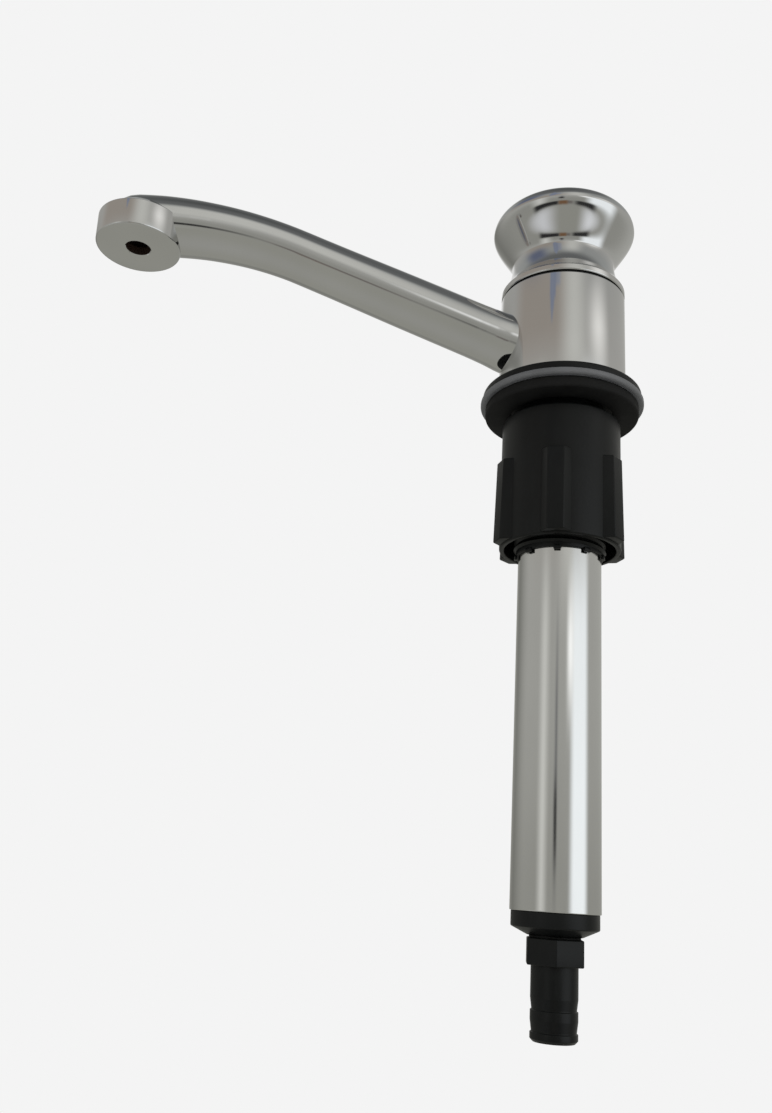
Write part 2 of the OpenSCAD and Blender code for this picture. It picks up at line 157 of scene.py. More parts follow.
def mesh_of(name, verts, faces):
    """A smooth shaded mesh from millimetres, with its faces outwards and hard edges kept."""
    mesh = bpy.data.meshes.new(name)
    mesh.from_pydata([tuple(c * MM for c in v) for v in verts], [], faces)
    work = bmesh.new()
    work.from_mesh(mesh)
    bmesh.ops.remove_doubles(work, verts=work.verts, dist=1e-7)
    bmesh.ops.recalc_face_normals(work, faces=work.faces)
    work.to_mesh(mesh)
    work.free()
    shade(mesh)
    return mesh


def shade(mesh, sharp=32):
    """The mesh is shaded smooth, apart from edges that turn by more than so many degrees."""
    mesh.shade_smooth()
    mesh.set_sharp_from_angle(angle=math.radians(sharp))


def ease_edges(mesh, size, segments=4):
    """Every edge of the mesh gets a small rounding."""
    work = bmesh.new()
    work.from_mesh(mesh)
    bmesh.ops.bevel(work, geom=list(work.edges), offset=size * MM, segments=segments, profile=0.5,
                    affect="EDGES")
    work.to_mesh(mesh)
    work.free()


def object_of(name, mesh):
    """The mesh or curve as an object in the scene."""
    piece = bpy.data.objects.new(name, mesh)
    bpy.context.scene.collection.objects.link(piece)
    return piece


def turned(name, outline, sides=192, centre=(0, 0)):
    """A lathe-turned piece: solid if its outline starts and ends on the axis, and a ring if not."""
    verts = []
    faces = []
    rings = []
    for radius, height in outline:
        if radius < 1e-6:
            rings.append([len(verts)])
            verts.append((centre[0], centre[1], height))
            continue
        rings.append(list(range(len(verts), len(verts) + sides)))
        for k in range(sides):
            a = 2 * math.pi * k / sides
            verts.append((centre[0] + radius * math.cos(a), centre[1] + radius * math.sin(a), height))
    closed = outline[0][0] > 1e-6
    for i in range(len(rings) if closed else len(rings) - 1):
        low = rings[i]
        high = rings[(i + 1) % len(rings)]
        for k in range(sides):
            n = (k + 1) % sides
            if len(low) == 1 and len(high) == 1:
                continue
            if len(low) == 1:
                faces.append((low[0], high[n], high[k]))
            elif len(high) == 1:
                faces.append((low[k], low[n], high[0]))
            else:
                faces.append((low[k], low[n], high[n], high[k]))
    return object_of(name, mesh_of(name, verts, faces))


def joined(name, pieces):
    """One object from several, whose meshes lie in the shared frame."""
    work = bmesh.new()
    for piece in pieces:
        work.from_mesh(piece.data)
    mesh = bpy.data.meshes.new(name)
    work.to_mesh(mesh)
    work.free()
    for piece in pieces:
        drop(piece)
    shade(mesh)
    return object_of(name, mesh)


def drop(piece):
    """The helper piece is taken out of the scene."""
    bpy.data.objects.remove(piece)


def cut_with(piece, tool, way="DIFFERENCE"):
    """The tool is cut out of the piece, or added to it, and is then gone."""
    modifier = piece.modifiers.new("cut", "BOOLEAN")
    modifier.object = tool
    modifier.operation = way
    modifier.solver = "EXACT"
    bake(piece)
    drop(tool)


def bake(piece):
    """The piece's modifiers become its plain mesh."""
    bpy.context.view_layer.update()
    done = bpy.data.meshes.new_from_object(piece.evaluated_get(bpy.context.evaluated_depsgraph_get()))
    piece.modifiers.clear()
    if piece.type == "MESH":
        piece.data = done
        return piece
    name = piece.name
    drop(piece)
    return object_of(name, done)


# Node trees

def math_node(tree, way, *values):
    """A math node whose inputs are numbers or the outputs of other nodes."""
    node = tree.nodes.new("ShaderNodeMath")
    node.operation = way
    for socket, value in zip(node.inputs, values):
        if isinstance(value, (int, float)):
            socket.default_value = value
        else:
            tree.links.new(value, socket)
    return node.outputs[0]


def ramp_node(tree, value, stops, way="LINEAR"):
    """A colour ramp through (position, colour) stops, read at the value."""
    node = tree.nodes.new("ShaderNodeValToRGB")
    node.color_ramp.interpolation = way
    marks = node.color_ramp.elements
    while len(marks) < len(stops):
        marks.new(0.5)
    for mark, (at, colour) in zip(marks, stops):
        mark.position = at
        mark.color = (*colour, 1)
    tree.links.new(value, node.inputs[0])
    return node.outputs[0]


def new_tree(name, sockets):
    """A tree with the named inputs and one geometry output."""
    tree = bpy.data.node_groups.new(name, "GeometryNodeTree")
    tree.interface.new_socket("Geometry", in_out="INPUT", socket_type="NodeSocketGeometry")
    for label, kind in sockets:
        tree.interface.new_socket(label, in_out="INPUT", socket_type="NodeSocket" + kind)
    tree.interface.new_socket("Geometry", in_out="OUTPUT", socket_type="NodeSocketGeometry")
    return tree, tree.nodes.new("NodeGroupInput"), tree.nodes.new("NodeGroupOutput")


def run_tree(piece, tree, values):
    """The tree runs on the piece with these values for its inputs, and its result is the piece's mesh."""
    modifier = piece.modifiers.new(tree.name, "NODES")
    modifier.node_group = tree
    for item in tree.interface.items_tree:
        if item.in_out == "INPUT" and item.name in values:
            modifier[item.identifier] = values[item.name]
    made = bake(piece)
    work = bmesh.new()
    work.from_mesh(made.data)
    bmesh.ops.remove_doubles(work, verts=work.verts, dist=1e-7)
    bmesh.ops.recalc_face_normals(work, faces=work.faces)
    work.to_mesh(made.data)
    work.free()
    return made


def ring_tree():
    """Copies of one piece, set at even turns about the pump's axis."""
    tree, given, out = new_tree("ring_of_copies", [("Piece", "Object"), ("Count", "Int"),
                                                   ("Material", "Material")])
    points = tree.nodes.new("GeometryNodePoints")
    index = tree.nodes.new("GeometryNodeInputIndex")
    step = math_node(tree, "DIVIDE", 2 * math.pi, given.outputs["Count"])
    angle = math_node(tree, "MULTIPLY", index.outputs[0], step)
    turn = tree.nodes.new("ShaderNodeCombineXYZ")
    source = tree.nodes.new("GeometryNodeObjectInfo")
    copies = tree.nodes.new("GeometryNodeInstanceOnPoints")
    real = tree.nodes.new("GeometryNodeRealizeInstances")
    paint = tree.nodes.new("GeometryNodeSetMaterial")
    link = tree.links.new
    link(given.outputs["Count"], points.inputs["Count"])
    link(angle, turn.inputs["Z"])
    link(given.outputs["Piece"], source.inputs["Object"])
    link(points.outputs[0], copies.inputs["Points"])
    link(source.outputs["Geometry"], copies.inputs["Instance"])
    link(turn.outputs[0], copies.inputs["Rotation"])
    link(copies.outputs[0], real.inputs[0])
    link(real.outputs[0], paint.inputs["Geometry"])
    link(given.outputs["Material"], paint.inputs["Material"])
    link(paint.outputs[0], out.inputs[0])
    return tree


def thread_tree():
    """A screw thread: a pointed section swept along a helix about the pump's axis."""
    tree, given, out = new_tree("screw_thread", [("Radius", "Float"), ("Section", "Float"),
                                                 ("Turns", "Float"), ("Length", "Float"),
                                                 ("Foot", "Float"), ("Material", "Material")])
    helix = tree.nodes.new("GeometryNodeCurveSpiral")
    helix.inputs["Resolution"].default_value = 96
    section = tree.nodes.new("GeometryNodeCurvePrimitiveCircle")
    section.inputs["Resolution"].default_value = 4
    upright = tree.nodes.new("GeometryNodeSetCurveNormal")
    upright.mode = "Z_UP"
    sweep = tree.nodes.new("GeometryNodeCurveToMesh")
    sweep.inputs["Fill Caps"].default_value = True
    place = tree.nodes.new("GeometryNodeTransform")
    down = tree.nodes.new("ShaderNodeCombineXYZ")
    paint = tree.nodes.new("GeometryNodeSetMaterial")
    link = tree.links.new
    link(given.outputs["Turns"], helix.inputs["Rotations"])
    link(given.outputs["Radius"], helix.inputs["Start Radius"])
    link(given.outputs["Radius"], helix.inputs["End Radius"])
    link(given.outputs["Length"], helix.inputs["Height"])
    link(given.outputs["Section"], section.inputs["Radius"])
    link(helix.outputs[0], upright.inputs[0])
    link(upright.outputs[0], sweep.inputs["Curve"])
    link(section.outputs[0], sweep.inputs["Profile Curve"])
    link(given.outputs["Foot"], down.inputs["Z"])
    link(sweep.outputs[0], place.inputs["Geometry"])
    link(down.outputs[0], place.inputs["Translation"])
    link(place.outputs[0], paint.inputs["Geometry"])
    link(given.outputs["Material"], paint.inputs["Material"])
    link(paint.outputs[0], out.inputs[0])
    return tree


def sweep_tree():
    """A round bar along a curve, as thick at each point as the curve says."""
    tree, given, out = new_tree("swept_bar", [("Sides", "Int"), ("Material", "Material")])
    section = tree.nodes.new("GeometryNodeCurvePrimitiveCircle")
    section.inputs["Radius"].default_value = 1
    sweep = tree.nodes.new("GeometryNodeCurveToMesh")
    sweep.inputs["Fill Caps"].default_value = True
    paint = tree.nodes.new("GeometryNodeSetMaterial")
    link = tree.links.new
    link(given.outputs["Geometry"], sweep.inputs["Curve"])
    link(given.outputs["Sides"], section.inputs["Resolution"])
    link(section.outputs[0], sweep.inputs["Profile Curve"])
    if "Scale" in sweep.inputs:
        radius = tree.nodes.new("GeometryNodeInputRadius")
        link(radius.outputs[0], sweep.inputs["Scale"])
    link(sweep.outputs[0], paint.inputs["Geometry"])
    link(given.outputs["Material"], paint.inputs["Material"])
    link(paint.outputs[0], out.inputs[0])
    return tree


RING_TREE = ring_tree()
THREAD_TREE = thread_tree()
SWEEP_TREE = sweep_tree()


def empty_piece(name):
    """A piece with an empty mesh, for a tree to fill."""
    return object_of(name, bpy.data.meshes.new(name))


def ring_of(name, piece, count, material):
    """Copies of the piece round the pump's axis, in place of the piece itself."""
    copies = run_tree(empty_piece(name), RING_TREE, {"Piece": piece, "Count": count, "Material": material})
    drop(piece)
    return copies


# Finishes

class Finish:
    """A material in the making: its nodes, with a short way to add and join them."""

    def __init__(self, name):
        self.material = bpy.data.materials.new(name)
        self.material.use_nodes = True
        self.tree = self.material.node_tree
        self.shader = self.tree.nodes["Principled BSDF"]
        self.place = self.tree.nodes.new("ShaderNodeTexCoord").outputs["Object"]

    def stretched(self, scale):
        """The place on the piece, with each axis scaled, for textures with a direction."""
        node = self.tree.nodes.new("ShaderNodeMapping")
        node.inputs["Scale"].default_value = scale
        self.tree.links.new(self.place, node.inputs["Vector"])
        return node.outputs[0]

    def noise(self, scale, detail=3, roughness=0.5, vector=None):
        """A cloudy value from 0 to 1, finer with a larger scale."""
        node = self.tree.nodes.new("ShaderNodeTexNoise")
        node.inputs["Scale"].default_value = scale
        node.inputs["Detail"].default_value = detail
        node.inputs["Roughness"].default_value = roughness
        self.tree.links.new(vector or self.place, node.inputs["Vector"])
        return node.outputs[0]

    def ramp(self, value, stops):
        """A colour for the value, blended between (position, colour) stops."""
        return ramp_node(self.tree, value, stops)

    def between(self, value, low, high, start=0.0, end=1.0):
        """The value's range from start to end, spread over low to high."""
        node = self.tree.nodes.new("ShaderNodeMapRange")
        node.inputs["From Min"].default_value = start
        node.inputs["From Max"].default_value = end
        node.inputs["To Min"].default_value = low
        node.inputs["To Max"].default_value = high
        self.tree.links.new(value, node.inputs["Value"])
        return node.outputs[0]

    def add(self, a, b):
        """The sum of two values."""
        return math_node(self.tree, "ADD", a, b)

    def bump(self, height, distance, strength, under=None):
        """A surface direction that follows the height, laid over the one under it."""
        node = self.tree.nodes.new("ShaderNodeBump")
        node.inputs["Distance"].default_value = distance
        node.inputs["Strength"].default_value = strength
        self.tree.links.new(height, node.inputs["Height"])
        if under:
            self.tree.links.new(under, node.inputs["Normal"])
        return node.outputs[0]

    def set(self, **sockets):
        """The shader's inputs get these values, and the material is done."""
        for label, value in sockets.items():
            socket = self.shader.inputs[label.replace("_", " ").title().replace("Ior", "IOR")]
            if isinstance(value, (int, float, tuple)):
                socket.default_value = value
            else:
                self.tree.links.new(value, socket)
        return self.material


def chrome_plate():
    """Bright plate over turned brass: a faint waviness, wiping marks and a slightly uneven grey."""
    f = Finish("chrome_plate")
    haze = f.noise(38, 4, 0.55)
    wipes = f.noise(260, 5, 0.6, f.stretched((1, 1, 0.12)))
    rough = f.add(f.between(haze, 0.035, 0.075, 0.3, 0.7), f.between(wipes, 0.0, 0.02, 0.45, 0.75))
    colour = f.ramp(f.noise(22, 3), [(0.3, (0.62, 0.62, 0.62)), (0.7, (0.68, 0.68, 0.68))])
    wave = f.bump(f.noise(70, 2, 0.4), 0.00002, 0.25)
    fine = f.bump(f.noise(1500, 2, 0.5), 0.000002, 0.2, wave)
    return f.set(base_color=colour, metallic=1.0, roughness=rough, normal=fine)


def bare_bore():
    """The drilled inside of the spout: dull brass under a brown film of old water."""
    f = Finish("bare_bore")
    film = f.noise(160, 4, 0.6)
    colour = f.ramp(film, [(0.3, (0.012, 0.007, 0.005)), (0.6, (0.03, 0.016, 0.010)),
                           (0.9, (0.06, 0.034, 0.022))])
    return f.set(base_color=colour, metallic=0.0, roughness=f.between(film, 0.55, 0.75, 0.3, 0.7),
                 specular_ior_level=0.2, normal=f.bump(film, 0.00003, 0.4))


def drawn_steel():
    """Polished stainless tube, with the faint lengthwise lines that drawing leaves."""
    f = Finish("drawn_steel")
    lines = f.noise(900, 4, 0.6, f.stretched((1, 1, 0.015)))
    cloud = f.noise(45, 4, 0.5, f.stretched((1, 1, 0.3)))
    rough = f.add(f.between(lines, 0.06, 0.13, 0.3, 0.7), f.between(cloud, 0.0, 0.035, 0.35, 0.7))
    colour = f.ramp(cloud, [(0.3, (0.66, 0.66, 0.655)), (0.7, (0.73, 0.73, 0.725))])
    drawn = f.bump(lines, 0.000006, 0.35)
    return f.set(base_color=colour, metallic=1.0, roughness=rough, normal=drawn)


def ground_steel():
    """The rod's ground and polished surface, with fine rings round it."""
    f = Finish("ground_steel")
    rings = f.noise(500, 3, 0.6, f.stretched((0.05, 0.05, 4)))
    colour = f.ramp(rings, [(0.3, (0.60, 0.595, 0.58)), (0.7, (0.68, 0.675, 0.66))])
    return f.set(base_color=colour, metallic=1.0, roughness=f.between(rings, 0.08, 0.2, 0.3, 0.7),
                 normal=f.bump(rings, 0.000004, 0.3))


def black_moulding(name="black_moulding", dark=0.0028, light=0.0048, rough=0.33):
    """Satin black plastic from a spark-eroded mould, with a fine grain and slight sink marks."""
    f = Finish(name)
    cloud = f.noise(55, 4, 0.55)
    grain = f.noise(2600, 2, 0.5)
    scuff = f.noise(420, 6, 0.7, f.stretched((1, 1, 0.35)))
    colour = f.ramp(f.add(cloud, f.between(scuff, -0.1, 0.25, 0.5, 0.8)),
                    [(0.35, (dark * 0.9, dark * 1.06, dark * 1.08)),
                     (0.75, (light * 0.92, light * 1.05, light * 1.05)),
                     (1.0, (light * 1.7, light * 1.8, light * 1.78))])
    roughness = f.add(f.between(cloud, rough - 0.05, rough + 0.06, 0.3, 0.7),
                      f.between(scuff, 0.0, 0.08, 0.5, 0.8))
    grained = f.bump(grain, 0.00001, 0.35, f.bump(cloud, 0.00008, 0.25))
    return f.set(base_color=colour, roughness=roughness, specular_ior_level=0.22, normal=grained)


def soft_rubber():
    """Matte black rubber: open grain, dusty in its hollows."""
    f = Finish("soft_rubber")
    cloud = f.noise(120, 5, 0.6)
    grain = f.noise(1400, 3, 0.6)
    colour = f.ramp(f.add(cloud, f.between(grain, -0.08, 0.08)),
                    [(0.3, (0.004, 0.004, 0.004)), (0.7, (0.007, 0.007, 0.0068)),
                     (0.95, (0.016, 0.016, 0.0155))])
    return f.set(base_color=colour, roughness=f.between(cloud, 0.62, 0.8, 0.3, 0.7),
                 specular_ior_level=0.2, normal=f.bump(grain, 0.00002, 0.4))


def gray_moulding():
    """The sealing ring's satin grey plastic."""
    f = Finish("gray_moulding")
    cloud = f.noise(90, 4, 0.55)
    grain = f.noise(2200, 2, 0.5)
    colour = f.ramp(cloud, [(0.3, (0.070, 0.072, 0.075)), (0.7, (0.092, 0.094, 0.097))])
    return f.set(base_color=colour, roughness=f.between(cloud, 0.36, 0.48, 0.3, 0.7),
                 specular_ior_level=0.5, normal=f.bump(grain, 0.000008, 0.3))


def white_acetal():
    """Natural acetal, turned, a little translucent in look."""
    f = Finish("white_acetal")
    rings = f.noise(700, 3, 0.5, f.stretched((0.1, 0.1, 3)))
    colour = f.ramp(rings, [(0.3, (0.76, 0.75, 0.71)), (0.7, (0.82, 0.81, 0.775))])
    return f.set(base_color=colour, roughness=f.between(rings, 0.32, 0.45, 0.3, 0.7),
                 normal=f.bump(rings, 0.000006, 0.3))


CHROME = chrome_plate()
BORE = bare_bore()
STEEL = drawn_steel()
ROD_STEEL = ground_steel()
BLACK = black_moulding()
BLACK_NUT = black_moulding("black_nut_moulding", 0.0026, 0.0044, 0.36)
RUBBER = soft_rubber()
GRAY = gray_moulding()
ACETAL = white_acetal()


def finished(piece, material, body, slot, *stands_for):
    """The piece gets its finish, moves with its body and stands for its solids."""
    piece.data.materials.clear()
    piece.data.materials.append(material)
    for face in piece.data.polygons:
        face.material_index = 0
    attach(piece, body)
    if stands_for:
        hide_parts(*stands_for)


# Chromed pieces

def build_knob():
    """The knob: a short foot with a hollow under it, a drawn-in neck and a wide rounded rim."""
    foot = bend_curve((20.4, 1.9), (18.08, 4.02), (17, 9.32), (17, 12.5))
    flare = bend_curve((17, 12.5), (17, 15.12), (23.75, 22.98), (23.75, 25.6))
    brow = bend_curve((23.75, 25.6), (23.75, 29.32), (20.125, 31.6), (16.5, 31.6), 32)
    crown = bend_curve((16.5, 31.6), (11, 32.0), (5, 32.2), (0, 32.2), 20)
    lip = rounded([(17.5, 0, 0), (20.4, 0, 0.45), (20.4, 1.9, 0), (17.5, 1.9, 0)])[1:8]
    outline = [(0, 8.5), (4.04, 8.5), (4.04, 0.3), (4.3, 0), (8, 0), (8, 8), (14, 8), (14, 0)]
    outline += lip + foot + flare[1:] + brow[1:] + crown[1:]
    piece = turned("knob_shell", [(r, KNOB_Z + z) for r, z in outline], 256)
    finished(piece, CHROME, "plunger", "chrome", "knob")


def spine(s):
    """The height of the spout's axis at the distance s from the pump's axis."""
    if s <= BEND_START:
        return SPOUT_Z + (s - BODY_R) * math.tan(SPOUT_RISE)
    start = SPOUT_Z + (BEND_START - BODY_R) * math.tan(SPOUT_RISE)
    return start - BEND_R * math.cos(SPOUT_RISE) + math.sqrt(
        BEND_R ** 2 - (s - BEND_START - BEND_R * math.sin(SPOUT_RISE)) ** 2)


def on_spout(s, height):
    """The point at the distance s from the pump's axis, in the spout's upright plane."""
    a = math.radians(SPOUT_TURN)
    return s * math.cos(a), s * math.sin(a), height


# The spout's radius along its reach: it widens at the root, narrows to the bend, swells towards the head
# and is rounded off inside it
SPOUT_RADII = [(10, 9.9), (20, 9.45), (22, 9.25), (24, 9.1), (27, 8.98), (30, 8.9), (36, 8.84),
               (44, 8.78), (52, 8.7), (60, 8.59), (68, 8.46), (76, 8.35), (84, 8.28), (90, 8.27),
               (97, 8.36), (104, 8.5), (111, 8.68), (118, 8.86), (125, 9.1), (132, 9.3), (139.5, 9.4),
               (142, 9.15), (144.5, 8.2), (146.5, 6.6), (148, 4.6)]


def spout_radius(s):
    """The spout's radius at the distance s from the pump's axis."""
    for (s0, r0), (s1, r1) in zip(SPOUT_RADII, SPOUT_RADII[1:]):
        if s <= s1:
            t = (s - s0) / (s1 - s0)
            return r0 + (r1 - r0) * t
    return SPOUT_RADII[-1][1]


def bar_along_spout(name, start, end, radius_at, sides):
    """A round bar along the spout's axis, made by the sweep tree."""
    step = 0.6
    count = int((end - start) / step)
    curve = bpy.data.curves.new(name, "CURVE")
    curve.dimensions = "3D"
    line = curve.splines.new("POLY")
    line.points.add(count)
    for i in range(count + 1):
        s = start + (end - start) * i / count
        line.points[i].co = (*(c * MM for c in on_spout(s, spine(s))), 1)
        line.points[i].radius = radius_at(s) * MM
    return run_tree(object_of(name, curve), SWEEP_TREE, {"Sides": sides, "Material": CHROME})


def build_spout():
    """The spout: a bent bar and a cone-topped head in one, with the water's way cut through both."""
    centre = on_spout(REACH, 0)[:2]
    face = spine(REACH) - HEAD_DROP
    arm = bar_along_spout("spout", 12.0, REACH + 8, spout_radius, 128)
    outline = rounded([(0, 0, 0), (13.0, 0, 0.55), (13.3, 8.7, 0.3), (2.4, 17.6, 2.0), (0, 17.9, 0)])
    head = turned("head", outline, 192, centre)
    head.data.transform(Matrix.Translation((0, 0, face * MM)))
    # Nothing of the bar comes through the head's flat face
    underside = [(0, face - 6), (12.6, face - 6), (12.6, face + 0.3), (0, face + 0.3)]
    cut_with(arm, turned("underside", underside, 96, centre))
    cut_with(arm, head, "UNION")
    # The water's way: along the bent bar, into a chamber in the head and out of the drilled hole
    cut_with(arm, bar_along_spout("water", 8.0, REACH, lambda s: PASSAGE_R, 64))
    chamber = [(0, face + OUTLET_L), (PASSAGE_R + 0.5, face + OUTLET_L),
               (PASSAGE_R + 0.5, face + HEAD_DROP), (0, face + HEAD_DROP)]
    cut_with(arm, turned("chamber", chamber, 64, centre))
    drill = [(0, face - 1), (OUTLET_R + 1.25, face - 1), (OUTLET_R, face + 0.25), (OUTLET_R, face + 5),
             (0, face + 5)]
    cut_with(arm, turned("drill", drill, 96, centre))
    # The root ends on the body's round side
    cut_with(arm, turned("cope", [(0, 0), (BODY_R - 0.9, 0), (BODY_R - 0.9, 60), (0, 60)], 192))
    arm.name = "spout_tube"
    shade(arm.data, 30)
    finished(arm, CHROME, "spout", "chrome", "spout_arm")
    paint_inside(arm, centre, face)


def paint_inside(arm, centre, face):
    """The faces of the water passage, the chamber and the drilled hole get the bore's finish."""
    arm.data.materials.append(BORE)
    a = math.radians(SPOUT_TURN)
    for side in arm.data.polygons:
        x, y, z = (c / MM for c in side.center)
        along = x * math.cos(a) + y * math.sin(a)
        across = y * math.cos(a) - x * math.sin(a)
        slope = spine(along + 0.5) - spine(along - 0.5)
        above = (z - spine(along)) / math.sqrt(1 + slope * slope)
        off_centre = math.hypot(x - centre[0], y - centre[1])
        in_passage = along < REACH + 0.5 and math.hypot(across, above) < PASSAGE_R + 0.3
        in_outlet = off_centre < PASSAGE_R + 0.7 and face + 0.4 < z < face + HEAD_DROP
        if in_passage or in_outlet:
            side.material_index = 1


def build_body():
    """The swivelling body: a chromed sleeve with a port for the spout's passage."""
    outline = rounded([(BODY_BORE_R, BODY_LOW, 0.2), (BODY_R, BODY_LOW, 0.45), (BODY_R, BODY_TOP, 0.3),
                       (18.7, BODY_TOP, 0.15), (18.7, GUIDE_FLOOR, 0), (BODY_BORE_R, GUIDE_FLOOR, 0)])
    body = turned("body_shell", outline, 256)
    cut_with(body, bar_along_spout("port", 12.0, 26.0, lambda s: PASSAGE_R, 64))
    shade(body.data, 30)
    finished(body, CHROME, "spout", "chrome", "swivel_body")


# Black pieces round the worktop

def build_head():
    """The pump head: its rim, its spigot, the threaded shank and the lugs at the shank's foot."""
    barrel_seat_r = BARREL_R + SLIDE_GAP
    outline = rounded([(BOSS_R, RING_TOP, 0), (RIM_R, RING_TOP, 0.4), (RIM_R, RIM_TOP, 0.9),
                       (SPIGOT_R, RIM_TOP, 0), (SPIGOT_R, GUIDE_FLOOR, 0.3),
                       (SPIGOT_BORE_R, GUIDE_FLOOR + 0.1, 0), (SPIGOT_BORE_R, THROAT_TOP, 0),
                       (THROAT_R, THROAT_TOP, 0), (THROAT_R, THROAT_LOW, 0), (barrel_seat_r, THROAT_LOW, 0),
                       (barrel_seat_r, SHANK_END, 0.15), (SHANK_CORE_R, SHANK_END, 0.4),
                       (SHANK_CORE_R, BOSS_LOW, 0), (BOSS_R, BOSS_LOW, 0.3)])
    head = turned("head_moulding", outline, 192)
    thread = run_tree(empty_piece("thread"), THREAD_TREE, {
        "Radius": THREAD_R * MM, "Section": THREAD_SECTION * MM, "Turns": THREAD_L / THREAD_PITCH,
        "Length": THREAD_L * MM, "Foot": (SHANK_END + 1.6) * MM, "Material": BLACK})
    lug = box_piece("lug", (BARREL_R + 0.3, -1.1, SHANK_END - 0.9), (SHANK_R - 0.3, 1.1, SHANK_END + 0.5),
                    0.2)
    lug.data.transform(Matrix.Rotation(math.radians(LUG_TURN), 4, "Z"))
    lugs = ring_of("lugs", lug, LUG_COUNT, BLACK)
    piece = joined("head_and_shank", [head, thread, lugs])
    finished(piece, BLACK, "root", "black_plastic", "pump_head")


def box_piece(name, low, high, bevel):
    """A block between two corners with eased edges."""
    mesh = bpy.data.meshes.new(name)
    work = bmesh.new()
    bmesh.ops.create_cube(work, size=1)
    for v in work.verts:
        v.co = Vector([(low[k] + (v.co[k] + 0.5) * (high[k] - low[k])) * MM for k in range(3)])
    work.to_mesh(mesh)
    work.free()
    ease_edges(mesh, bevel, 3)
    shade(mesh)
    return object_of(name, mesh)


def build_flange():
    """The gasket on the worktop and the grey sealing ring above it."""
    inside = BOSS_R + 0.3
    outline = rounded([(inside, 0, 0.2), (GASKET_R, 0, 0.85), (GASKET_R, GASKET_TOP, 0.4),
                       (inside, GASKET_TOP, 0)])
    finished(turned("gasket", outline, 192), RUBBER, "root", "black_rubber", "bench_gasket")
    outline = rounded([(inside, GASKET_TOP, 0), (RING_R, GASKET_TOP, 0.8), (RING_R, RING_TOP, 0.8),
                       (inside, RING_TOP, 0)])
    finished(turned("gray_ring", outline, 192), GRAY, "root", "gray_ring", "sealing_ring")


def build_nut():
    """The clamp nut: a sleeve with its bore at the top, an open skirt under it and grip ribs."""
    bore_r = SHANK_R + SLIDE_GAP
    skirt_r = NUT_R - NUT_SKIRT_WALL
    bore_end = NUT_TOP - NUT_BORE_L
    outline = rounded([(bore_r, NUT_TOP, 0.3), (NUT_R, NUT_TOP, 0.6), (NUT_R, NUT_END, 0.55),
                       (skirt_r, NUT_END, 0.3), (skirt_r, bore_end, 0.3), (bore_r, bore_end, 0.3)])
    sleeve = turned("sleeve", outline, 192)
    ribs = ring_of("ribs", rib_piece(), RIB_COUNT, BLACK_NUT)
    piece = joined("clamp_nut_moulding", [sleeve, ribs])
    finished(piece, BLACK_NUT, "nut", "black_plastic", "clamp_nut")


def rib_piece():
    """One grip rib: its face leans out towards the foot, and its flanks slope down to the sleeve."""
    top = NUT_TOP - 15.4
    low = NUT_END + 0.5
    inside = NUT_R - 1.2
    levels = [(top, NUT_R + 2.0), (low, NUT_R + 2.6)]
    verts = []
    for z, outer in levels:
        for x, y in ((inside, -5.0), (inside, 5.0), (outer, 2.5), (outer, -2.5)):
            verts.append((x, y, z))
    faces = [(0, 1, 2, 3), (4, 7, 6, 5), (0, 4, 5, 1), (1, 5, 6, 2), (2, 6, 7, 3), (3, 7, 4, 0)]
    mesh = mesh_of("rib", verts, faces)
    ease_edges(mesh, 0.35)
    mesh.transform(Matrix.Rotation(math.radians(RIB_TURN), 4, "Z"))
    shade(mesh, 40)
    return object_of("rib", mesh)


# The barrel and its foot

def build_barrel():
    """The steel barrel between the pump head and the foot cap."""
    outline = rounded([(BARREL_BORE_R, BARREL_END, 0.2), (BARREL_R, BARREL_END, 0.25), (BARREL_R, 2.6, 0.2),
                       (BARREL_BORE_R, 2.6, 0.2)])
    finished(turned("barrel", outline, 192), STEEL, "root", "steel", "cylinder_tube")


def hexagon(name, across, low, high, bevel):
    """A hexagonal collar with eased edges, turned as the photograph shows it."""
    radius = across / math.sqrt(3)
    verts = []
    for z in (low, high):
        for k in range(6):
            a = math.radians(HEX_TURN + 60 * k)
            verts.append((radius * math.cos(a), radius * math.sin(a), z))
    faces = [tuple(range(5, -1, -1)), tuple(range(6, 12))]
    for k in range(6):
        n = (k + 1) % 6
        faces.append((k, n, n + 6, k + 6))
    mesh = mesh_of(name, verts, faces)
    ease_edges(mesh, bevel)
    shade(mesh, 40)
    return object_of(name, mesh)


